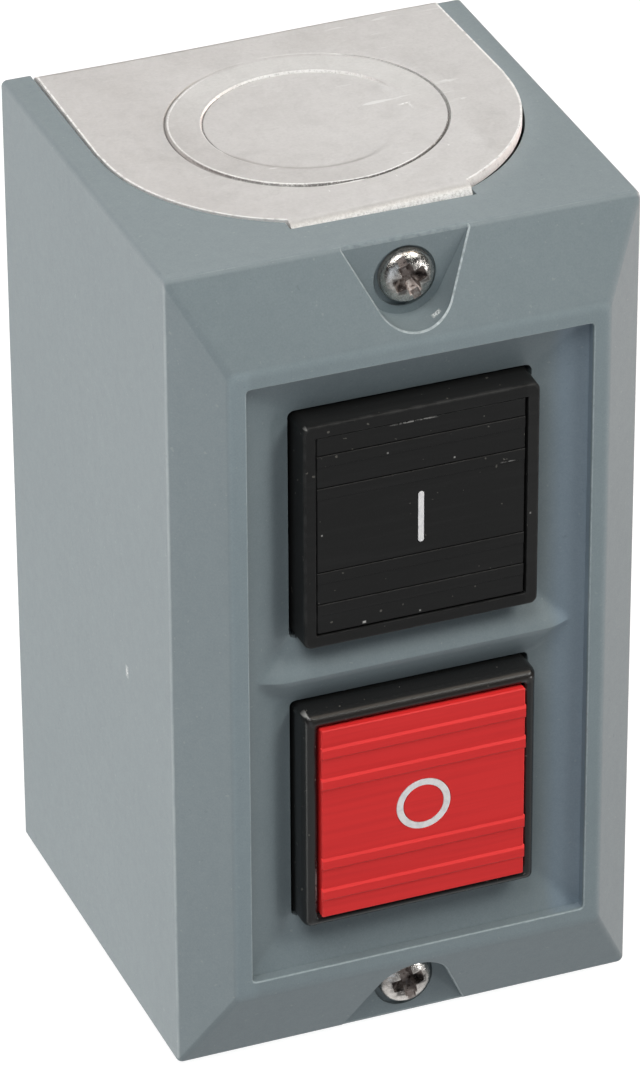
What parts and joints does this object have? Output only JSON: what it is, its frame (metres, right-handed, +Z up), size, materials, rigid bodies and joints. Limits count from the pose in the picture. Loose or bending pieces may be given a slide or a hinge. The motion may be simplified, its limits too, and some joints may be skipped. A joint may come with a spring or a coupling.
{
  "type": "two-button control station",
  "caption": "Wall-mounted push-button control station with a recessed start button and stop button, moulded cover on a steel base with conduit knockouts.",
  "frame": {"origin": "centre of the rear wall face of the steel base", "axes": "+Z up along the long side, +X to the right seen from the front, the buttons face -Y"},
  "size_m": [0.0576, 0.0594, 0.1052],
  "materials": {
    "grey_plastic": "moulded thermoplastic, fine satin texture, blue-grey",
    "galvanised_steel": "zinc-coated sheet, dull mottled, sheared edges",
    "plated_steel": "bright nickel or zinc plate",
    "black_plastic": "satin black moulding",
    "black_gloss": "polished black moulding with rounded frame",
    "red_plastic": "satin red moulding",
    "legend_white": "white filled marking",
    "brass": "stamped brass with silver-alloy tips",
    "phenolic": "dark brown moulded phenolic",
    "spring_steel": "drawn wire",
    "fibre": "pressed fibre sheet",
    "green_steel": "green-dyed zinc plate"
  },
  "bodies": {
    "housing": {"base_plate": "galvanised_steel", "cover": "grey_plastic", "cover_screw_bottom": "plated_steel", "cover_screw_top": "plated_steel", "earth_screw": "green_steel", "insulator_sheet": "fibre", "screw_retainer_bottom": "fibre", "screw_retainer_top": "fibre", "start_block_base": "phenolic", "start_block_screw_lower": "plated_steel", "start_block_screw_upper": "plated_steel", "start_clamp_plate_left": "plated_steel", "start_clamp_plate_right": "plated_steel", "start_contact_block": "phenolic", "start_fixed_contact_left": "brass", "start_fixed_contact_right": "brass", "start_return_spring": "spring_steel", "start_terminal_screw_left": "plated_steel", "start_terminal_screw_right": "plated_steel", "stop_block_base": "phenolic", "stop_block_screw_lower": "plated_steel", "stop_block_screw_upper": "plated_steel", "stop_clamp_plate_left": "plated_steel", "stop_clamp_plate_right": "plated_steel", "stop_contact_block": "phenolic", "stop_contact_spring": "spring_steel", "stop_fixed_contact_left": "brass", "stop_fixed_contact_right": "brass", "stop_return_spring": "spring_steel", "stop_terminal_screw_left": "plated_steel", "stop_terminal_screw_right": "plated_steel"},
    "start_button": {"start_button_cap": "black_plastic", "start_legend_plate": "black_plastic", "start_plunger": "black_plastic", "start_bridge_clip": "spring_steel", "start_contact_spring": "spring_steel"},
    "start_bridge": {"start_contact_bridge": "brass"},
    "stop_button": {"stop_button_cap": "black_gloss", "stop_legend_plate": "red_plastic", "stop_plunger": "black_plastic"},
    "stop_bridge": {"stop_contact_bridge": "brass"}
  },
  "joints": [
    {"name": "start_press", "type": "slide", "parent": "housing", "child": "start_button", "axis": [0, 1, 0], "range_m": [0, 0.0036], "stiffness_N_per_m": 450, "springref_m": -0.003, "deforming": ["start_return_spring", "start_contact_spring"]},
    {"name": "start_bridge_travel", "type": "slide", "parent": "housing", "child": "start_bridge", "axis": [0, 1, 0], "range_m": [0, 0.0026]},
    {"name": "stop_press", "type": "slide", "parent": "housing", "child": "stop_button", "axis": [0, 1, 0], "range_m": [0, 0.0036], "stiffness_N_per_m": 450, "springref_m": -0.003, "deforming": ["stop_return_spring"]},
    {"name": "stop_bridge_travel", "type": "slide", "parent": "housing", "child": "stop_bridge", "axis": [0, 1, 0], "range_m": [0, 0.0026], "deforming": ["stop_contact_spring"]}
  ],
  "couplings": [
    {"joint": "start_bridge_travel", "follows": "start_press", "ratio": 0.72},
    {"joint": "stop_bridge_travel", "follows": "stop_press", "ratio": 0.72}
  ]
}
